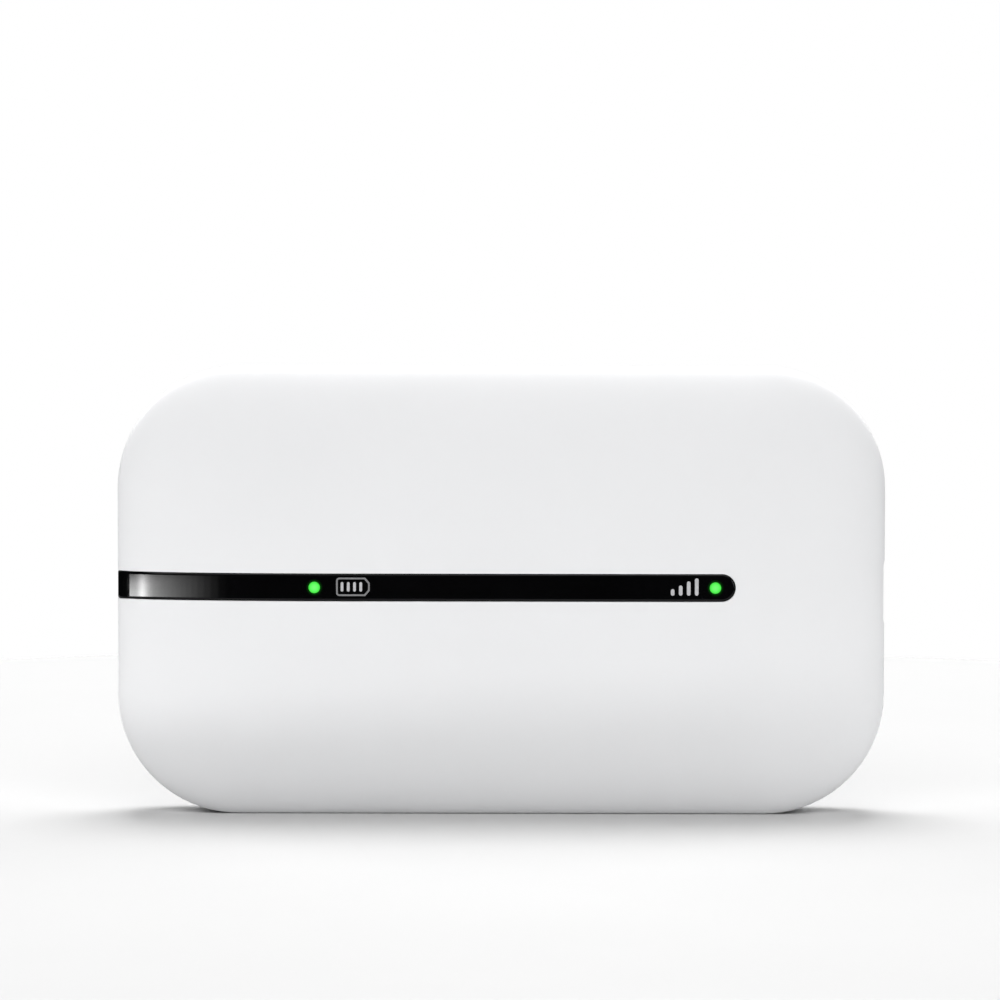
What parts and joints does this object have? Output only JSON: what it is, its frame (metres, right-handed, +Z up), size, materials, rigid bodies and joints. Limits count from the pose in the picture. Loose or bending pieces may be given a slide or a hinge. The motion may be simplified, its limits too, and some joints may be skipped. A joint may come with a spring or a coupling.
{
  "type": "mobile hotspot",
  "caption": "Pebble-shaped pocket mobile hotspot with a glossy indicator strip, power button, micro-USB inlet, lift-off rear cover, removable battery and SIM card.",
  "frame": {"origin": "under the middle of the body, level with its lower long edge, which it stands on", "axes": "+X to the right for someone facing the front, +Y towards the rear cover, +Z up; the front faces -Y"},
  "size_m": [0.1, 0.0144, 0.0583],
  "materials": {
    "shell_white": "white moulded plastic, satin to semi-gloss",
    "strip_black": "piano black, polished",
    "chassis_grey": "fine moulded texture",
    "board_green": "solder-masked glass laminate",
    "tinned_steel": "tin plated, dull",
    "stainless": "smooth",
    "gold_contact": "gold-plated spring contact",
    "antenna_copper": "bare copper foil",
    "chip_black": "moulded epoxy",
    "led_green": "lit green LED",
    "guide_clear": "clear light guide",
    "foam_black": "closed-cell foam",
    "pad_grey": "soft silicone thermal pad",
    "card_white": "plain SIM card plastic",
    "battery_grey": "shrink-wrapped cell",
    "label_white": "plain label without printing",
    "tantalum_yellow": "moulded capacitor"
  },
  "bodies": {
    "body": {"front_shell": "shell_white", "indicator_lens": "strip_black", "chassis": "chassis_grey", "screw_1": "stainless", "screw_2": "stainless", "screw_3": "stainless", "screw_4": "stainless", "main_board": "board_green", "baseband_shield": "tinned_steel", "radio_shield": "tinned_steel", "wifi_shield": "tinned_steel", "baseband_chip": "chip_black", "memory_chip": "chip_black", "radio_chip": "chip_black", "power_amplifier_chip": "chip_black", "power_management_chip": "chip_black", "wifi_chip": "chip_black", "crystal": "tinned_steel", "thermal_pad": "pad_grey", "inductor_1": "chip_black", "inductor_2": "chip_black", "capacitor": "tantalum_yellow", "battery_led": "led_green", "signal_led": "led_green", "battery_light_guide": "guide_clear", "signal_light_guide": "guide_clear", "battery_light_gasket": "foam_black", "signal_light_gasket": "foam_black", "power_switch_body": "stainless", "usb_shell": "stainless", "usb_tongue": "chip_black", "card_socket": "chip_black", "card_socket_lid": "tinned_steel", "card_contacts": "gold_contact", "reset_switch_body": "stainless", "battery_connector": "chip_black", "battery_contact_1": "gold_contact", "battery_contact_2": "gold_contact", "battery_contact_3": "gold_contact", "main_antenna": "antenna_copper", "wifi_antenna": "antenna_copper", "diversity_antenna": "antenna_copper", "antenna_spring_1": "gold_contact", "antenna_spring_2": "gold_contact", "antenna_spring_3": "gold_contact", "bay_label": "label_white"},
    "power_button": {"power_button": "strip_black", "power_switch_plunger": "chip_black"},
    "reset_button": {"reset_button": "chip_black"},
    "rear_cover": {"rear_cover": "shell_white"},
    "battery": {"battery_cell": "battery_grey", "battery_contact_cap": "chip_black", "battery_end_cap": "chip_black", "battery_terminal_1": "gold_contact", "battery_terminal_2": "gold_contact", "battery_terminal_3": "gold_contact"},
    "sim_card": {"sim_card": "card_white"}
  },
  "joints": [
    {"name": "power_button_press", "type": "slide", "parent": "body", "child": "power_button", "axis": [1, 0, 0], "range_m": [0, 0.0003], "stiffness_N_per_m": 4000},
    {"name": "reset_button_press", "type": "slide", "parent": "body", "child": "reset_button", "axis": [0, -1, 0], "range_m": [0, 0.00025], "stiffness_N_per_m": 4000},
    {"name": "battery_lift", "type": "slide", "parent": "body", "child": "battery", "axis": [0, 1, 0], "range_m": [0, 0.012]},
    {"name": "rear_cover_lift", "type": "slide", "parent": "body", "child": "rear_cover", "axis": [0, 1, 0], "range_m": [0, 0.024]},
    {"name": "sim_card_slide", "type": "slide", "parent": "body", "child": "sim_card", "axis": [1, 0, 0], "range_m": [0, 0.009]}
  ],
  "couplings": [
    {"joint": "rear_cover_lift", "follows": "battery_lift", "ratio": 2}
  ]
}
